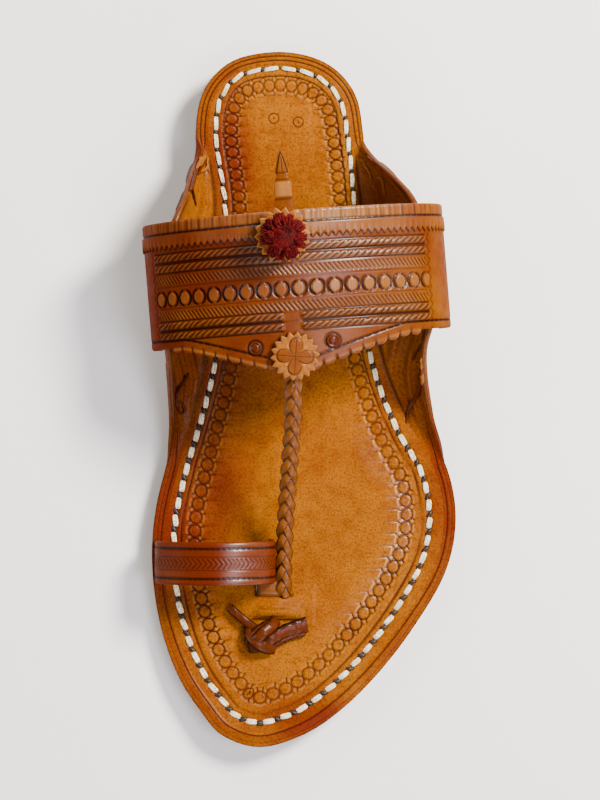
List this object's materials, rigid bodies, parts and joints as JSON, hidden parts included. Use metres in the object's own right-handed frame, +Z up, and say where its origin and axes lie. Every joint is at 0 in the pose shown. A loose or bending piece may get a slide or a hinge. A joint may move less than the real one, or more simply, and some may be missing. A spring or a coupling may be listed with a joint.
{
  "type": "kolhapuri sandal",
  "caption": "Left leather kolhapuri sandal: flat sole with folded ears, wide tooled instep band, braided thong, toe strap and pompom.",
  "frame": {"origin": "middle of the bounding box, on the floor under the sole", "axes": "+Z up, +Y from the toes to the heel along the sole's length, +X to the little-toe side"},
  "size_m": [0.1262, 0.278, 0.0846],
  "materials": {
    "sole_leather": "burnished",
    "footbed_leather": "vegetable tanned, oiled",
    "strap_leather": "tooled and polished",
    "rosette_leather": "embossed",
    "wool": "cut wool",
    "knot_leather": "polished"
  },
  "bodies": {
    "root": {"outsole": "sole_leather", "footbed_with_ears": "footbed_leather", "upper": "strap_leather", "leaf_tab": "strap_leather", "front_rosette": "rosette_leather", "back_rosette": "rosette_leather", "pompom": "wool", "toe_knot": "knot_leather"}
  },
  "joints": []
}
